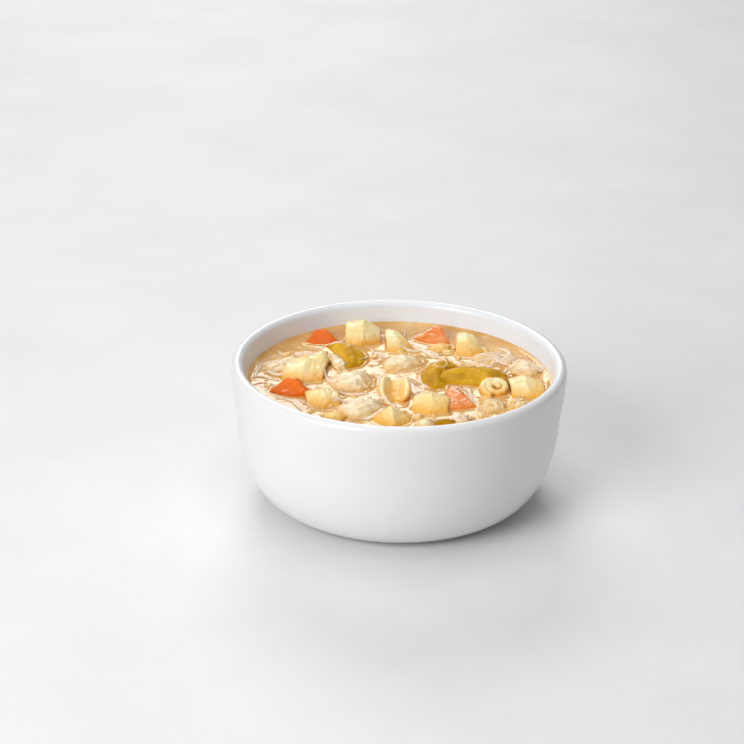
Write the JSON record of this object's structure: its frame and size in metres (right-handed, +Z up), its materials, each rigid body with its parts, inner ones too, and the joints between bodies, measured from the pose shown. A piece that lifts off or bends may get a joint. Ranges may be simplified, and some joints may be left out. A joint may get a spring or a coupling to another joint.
{
  "type": "chicken noodle soup",
  "caption": "Round white porcelain bowl of chicken noodle soup: golden broth with wide egg noodles, carrot, celery, chicken chunks and shreds showing above it.",
  "frame": {"origin": "middle of the circle that the bowl's foot ring stands on", "axes": "+Z up out of the bowl's mouth, +X to the right and -Y to the front of the bowl as it is served"},
  "size_m": [0.13, 0.13, 0.0565],
  "materials": {
    "porcelain": "gloss white glaze",
    "broth": "cloudy golden broth with a wet gloss",
    "noodle": "smooth cooked egg noodle, wet",
    "carrot": "cooked carrot, wet",
    "celery": "cooked celery, golden olive, wet",
    "chicken": "cooked chicken breast, fibrous, moist"
  },
  "bodies": {
    "root": {"bowl": "porcelain", "broth": "broth", "noodle_back_left": "noodle", "noodle_back_middle": "noodle", "noodle_back_right": "noodle", "noodle_small_back": "noodle", "noodle_left": "noodle", "noodle_middle": "noodle", "noodle_front_left": "noodle", "noodle_front_middle": "noodle", "noodle_front": "noodle", "noodle_rolled": "noodle", "noodle_right": "noodle", "noodle_small_front": "noodle", "carrot_front_left": "carrot", "carrot_back_left": "carrot", "carrot_back_right": "carrot", "carrot_front_right": "carrot", "celery_middle": "celery", "celery_middle_left": "celery", "celery_back_left": "celery", "celery_front": "celery", "chicken_middle": "chicken", "chicken_middle_left": "chicken", "chicken_front_left": "chicken", "chicken_left": "chicken", "chicken_strip": "chicken", "chicken_right": "chicken", "chicken_front_right": "chicken", "chicken_far_right": "chicken", "chicken_front": "chicken", "shreds_back_right": "chicken", "shreds_front_right": "chicken"}
  },
  "joints": []
}
